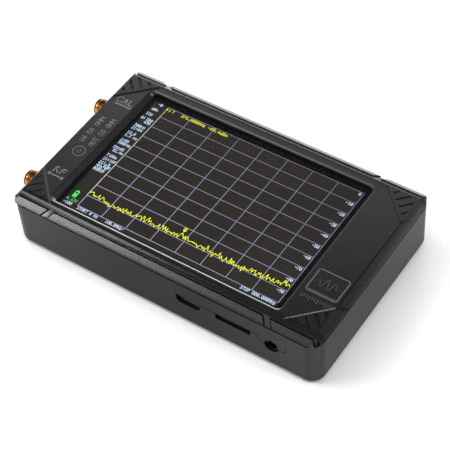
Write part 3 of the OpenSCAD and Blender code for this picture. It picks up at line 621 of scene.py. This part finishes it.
# Strokes of the printed letters, for a height of 1
LETTERS = {
    "R": [[(0, 0), (0, 1), (0.55, 1), (0.7, 0.86), (0.7, 0.64), (0.55, 0.5), (0, 0.5)],
          [(0.35, 0.5), (0.72, 0)]],
    "F": [[(0, 0), (0, 1), (0.68, 1)], [(0, 0.52), (0.55, 0.52)]],
    "C": [[(0.74, 0.82), (0.6, 0.97), (0.22, 0.97), (0.02, 0.75), (0.02, 0.25), (0.22, 0.03),
           (0.6, 0.03), (0.74, 0.18)]],
    "A": [[(0, 0), (0.38, 1), (0.76, 0)], [(0.13, 0.34), (0.63, 0.34)]],
    "L": [[(0, 1), (0, 0), (0.62, 0)]],
    "5": [[(0.6, 1), (0.08, 1), (0.02, 0.55), (0.42, 0.6), (0.62, 0.4), (0.6, 0.15), (0.4, 0),
           (0, 0.05)]],
    "0": [[(0.3, 1), (0.05, 0.8), (0.05, 0.2), (0.3, 0), (0.55, 0.2), (0.55, 0.8), (0.3, 1)]],
    "O": [[(0.35, 1), (0.05, 0.75), (0.05, 0.25), (0.35, 0), (0.65, 0.25), (0.65, 0.75),
           (0.35, 1)]],
    "H": [[(0, 0), (0, 1)], [(0.62, 0), (0.62, 1)], [(0, 0.5), (0.62, 0.5)]],
    "M": [[(0, 0), (0, 1), (0.38, 0.4), (0.76, 1), (0.76, 0)]],
    "I": [[(0.3, 0), (0.3, 1)]],
    "N": [[(0, 0), (0, 1), (0.62, 0), (0.62, 1)]],
    "U": [[(0, 1), (0, 0.2), (0.2, 0), (0.45, 0), (0.62, 0.2), (0.62, 1)]],
    "T": [[(0, 1), (0.7, 1)], [(0.35, 1), (0.35, 0)]],
}


def letter_paths(text, origin, height, advance, turn=0):
    """Stroke paths of a word, in millimetres, its base line turned by an angle in degrees."""
    c, s = math.cos(math.radians(turn)), math.sin(math.radians(turn))
    paths = []
    for i, letter in enumerate(text):
        for path in LETTERS.get(letter, ()):
            placed = []
            for x, y in path:
                x, y = (x * height + i * advance), y * height
                placed.append((origin[0] + c * x - s * y, origin[1] + s * x + c * y))
            paths.append(placed)
    return paths


def ring_path(x, y, radius, count=20):
    angles = [math.tau * i / count for i in range(count + 1)]
    return [(x + radius * math.cos(a), y + radius * math.sin(a)) for a in angles]


def port_marks():
    """Names of the two ports with their arrows, and two lines of port data between them."""
    paths = letter_paths("RF", (-54.1, -19.25), 2.3, 2.6)
    paths += letter_paths("CAL", (-55.7, 18.65), 2.5, 2.5)
    for y in (-20.65, 17.65):
        paths.append([(-55.3, y), (-48.7, y)])
    paths += [[(-54.5, -20.15), (-55.3, -20.65), (-54.5, -21.15)],
              [(-49.5, -20.15), (-48.7, -20.65), (-49.5, -21.15)],
              [(-54.8, 18), (-55.5, 17.65), (-54.8, 17.3)]]
    fine = letter_paths("IN 50 OHM", (-53.5, -3.6), 1.75, 1.48, 90)
    fine += letter_paths("OUT 50 OHM", (-49.5, -3.6), 1.75, 1.42, 90)
    fine += [ring_path(-52.1, -7.5, 2.2), ring_path(-52.1, -7.5, 0.7, 10)]
    return paths, fine


def emblem():
    """A plain framed wave with a scale below it, beside the screen."""
    left, right, low, high = 44.95, 56.1, -18.3, -9.05
    border = [(left, low), (right, low), (right, high), (left, high), (left, low)]
    teeth = [[(left + 0.5 + 0.46 * i, low + 0.25), (left + 0.5 + 0.46 * i, low + 0.75)]
             for i in range(23)]
    wave = []
    for i in range(37):
        along = i / 36
        swing = 2.2 * math.sin(3 * math.tau * along) * math.sin(math.pi * along)
        wave.append((left + 1.3 + along * (right - left - 2.6), (low + high) / 2 + swing))
    ticks = [[(left + 0.2 + 0.96 * i, -20.2), (left + 0.2 + 0.96 * i, -21.0 - 0.7 * (i % 3 == 0))]
             for i in range(12)]
    return [border], [wave] + ticks + teeth


def add_marks():
    points, faces = [], []
    bold, fine = port_marks()
    border, thin = emblem()
    for paths, width in ((bold, 0.36), (border, 0.42), (fine, 0.22), (thin, 0.2)):
        strokes(points, faces, paths, width)
    ink = surface("mark_ink", (0.17, 0.165, 0.16), 0.5, mottle=0.15, mottle_scale=900, specular=0.3)
    fade_color(ink, "X", 40 * MM, 41 * MM, (0.075, 0.073, 0.07))
    add_piece("front_marks", points, faces, ink)


# ---------- finishes of the CAD parts ----------


def finishes():
    black = surface("case_plastic", (0.005, 0.005, 0.0057), 0.38, specular=0.33, mottle=0.12,
                    mottle_scale=120, grain_scale=4200, grain_height=0.00001)
    tree = black.node_tree
    place = object_place(tree)
    shine = weighted(tree, data_wall_shine(tree, place), end_wall_shine(tree, place), 0)
    tree.links.new(weighted(tree, shine, 0.33, 0),
                   tree.nodes["Principled BSDF"].inputs["Specular IOR Level"])
    gold = surface("gold", (0.6, 0.3, 0.08), 0.2, metallic=1.0, mottle=0.08, mottle_scale=600,
                   grain_scale=3000, grain_height=0.000006)
    # painted shade: the gold turns dark brown above 14.9 mm, on the coax ports' upper sides, for
    # the shade and the dark reflection there
    fade_color(gold, "Z", 14.9 * MM, 15.9 * MM, (0.13, 0.05, 0.012))
    tin = surface("shield_tin", (0.62, 0.62, 0.6), 0.3, metallic=1.0, mottle=0.06, mottle_scale=300,
                  grain_scale=1500, grain_height=0.000008)
    shaded_port_shell = surface("port_steel_painted_shade", (0.28, 0.28, 0.28), 0.3, mottle=0.05,
                         mottle_scale=500, grain_scale=2500, grain_height=0.000005)
    # painted shade: the USB-C shell turns near black just inside its mouth, for the shadow in the
    # port
    fade_color(shaded_port_shell, "Y", PORT_LIP_Y + 0.01 * MM, PORT_LIP_Y + 0.03 * MM, (0.03, 0.03, 0.03))
    steel = surface("port_steel", (0.5, 0.5, 0.5), 0.3, metallic=1.0, mottle=0.05, mottle_scale=500,
                    grain_scale=2500, grain_height=0.000005)
    plastic = surface("port_plastic", (0.02, 0.02, 0.02), 0.45, mottle=0.1, mottle_scale=600)
    chip = surface("chip", (0.02, 0.02, 0.022), 0.55, mottle=0.15, mottle_scale=900)
    pale = surface("connector_plastic", (0.78, 0.75, 0.67), 0.5, mottle=0.04, mottle_scale=400)
    return {
        "front_shell": front_plastic(),
        "back_shell": black,
        "screen_gasket": surface("foam", (0.02, 0.02, 0.02), 0.9, mottle=0.3, mottle_scale=3000,
                                 grain_scale=2500, grain_height=0.00004),
        "case_screws": surface("screw_steel", (0.1, 0.1, 0.105), 0.35, metallic=1.0, mottle=0.15,
                               mottle_scale=700, grain_scale=2000),
        "threaded_inserts": surface("insert_brass", (0.75, 0.55, 0.25), 0.35, metallic=1.0),
        "touch_panel": clear_glass(),
        "lcd_cell": lit_cell(),
        "light_guide": surface("light_guide", (0.85, 0.88, 0.92), 0.2, mottle=0.02),
        "backlight_frame": surface("display_tray", (0.7, 0.71, 0.73), 0.4, metallic=1.0),
        "display_flex": surface("flex", (0.45, 0.22, 0.05), 0.35, mottle=0.1, mottle_scale=700),
        "flex_connector": pale,
        "display_pads": surface("pad_foam", (0.04, 0.04, 0.045), 0.9, mottle=0.3,
                                mottle_scale=2500),
        "main_board": surface("board", (0.012, 0.07, 0.04), 0.35, mottle=0.2, mottle_scale=500),
        "rf_shield_frame": tin,
        "rf_shield_lid": tin,
        "synth_shield_frame": tin,
        "synth_shield_lid": tin,
        "tuner_chips": chip,
        "clock_oscillator": surface("oscillator_metal", (0.6, 0.57, 0.45), 0.3, metallic=1.0),
        "processor_chip": chip,
        "charger_chip": chip,
        "power_inductor": chip,
        "coax_jack_rf": gold,
        "coax_jack_cal": gold,
        "coax_insulator_rf": surface("ptfe", (0.85, 0.84, 0.8), 0.4, mottle=0.04, mottle_scale=900),
        "coax_insulator_cal": surface("ptfe_cal", (0.85, 0.84, 0.8), 0.4, mottle=0.04,
                                      mottle_scale=900),
        "coax_contact_rf": gold,
        "coax_contact_cal": gold,
        "usb_c_shell": shaded_port_shell,
        "usb_c_tongue": plastic,
        "card_socket_base": plastic,
        "card_socket_cover": steel,
        "memory_card": surface("card_plastic", (0.008, 0.008, 0.009), 0.6, mottle=0.1,
                               specular=0.1),
        "audio_jack_body": plastic,
        "audio_jack_bushing": surface("bushing_dark", (0.07, 0.07, 0.07), 0.3, metallic=1.0),
        "audio_jack_contacts": gold,
        "power_switch_frame": steel,
        "power_switch_knob": surface("slider_plastic", (0.016, 0.016, 0.017), 0.45, mottle=0.1),
        "jog_switch_body": plastic,
        "jog_slider": pale,
        "jog_lever": surface("lever_plastic", (0.016, 0.016, 0.017), 0.45, mottle=0.1),
        "battery_pack": surface("battery_foil", (0.6, 0.61, 0.63), 0.3, metallic=0.9, mottle=0.06,
                                mottle_scale=120, grain_scale=600, grain_height=0.00003),
        "battery_tape": surface("tape", (0.7, 0.62, 0.4), 0.5, mottle=0.1),
        "battery_wires": surface("wire", (0.5, 0.03, 0.03), 0.4, mottle=0.1, mottle_scale=900),
        "battery_plug": pale,
        "battery_socket": pale,
    }


def soften_edges(piece, width):
    """Welds a shell's mesh, merges its flat faces and rounds its edges a little."""
    weld = piece.modifiers.new("weld", "WELD")
    weld.merge_threshold = 0.001 * MM
    flat = piece.modifiers.new("flat", "DECIMATE")
    flat.decimate_type = "DISSOLVE"
    flat.angle_limit = math.radians(1)
    bevel = piece.modifiers.new("bevel", "BEVEL")
    bevel.width = width
    bevel.segments = 2
    bevel.limit_method = "ANGLE"
    bevel.angle_limit = math.radians(20)


def dress_nodes():
    for name, material in finishes().items():
        mesh = nodes[name].data
        mesh.materials.clear()
        mesh.materials.append(material)


add_camera()
add_world()
add_floor()
softbox("key", 180, 62, 1.1, 0.5, 0.45, 4.0)
softbox("overhead", 300, 84, 1.2, 0.6, 0.6, 3.6)
softbox("front_left", 214.5, 43, 0.9, 0.38, 0.19, 17.0)
softbox("right_fill", 8, 45, 1.1, 0.5, 0.45, 5.0)
softbox("back_glow", 105, 28.5, 1.2, 1.3, 0.9, 1.15)
softbox("back_strip", 112, 8, 0.9, 0.5, 0.2, 12.0)
softbox("glint", 342, 60, 1.0, 0.07, 0.07, 60.0)
dress_nodes()
soften_edges(nodes["front_shell"], 0.1 * MM)
add_picture()
add_marks()
bpy.context.scene.view_settings.view_transform = "Standard"
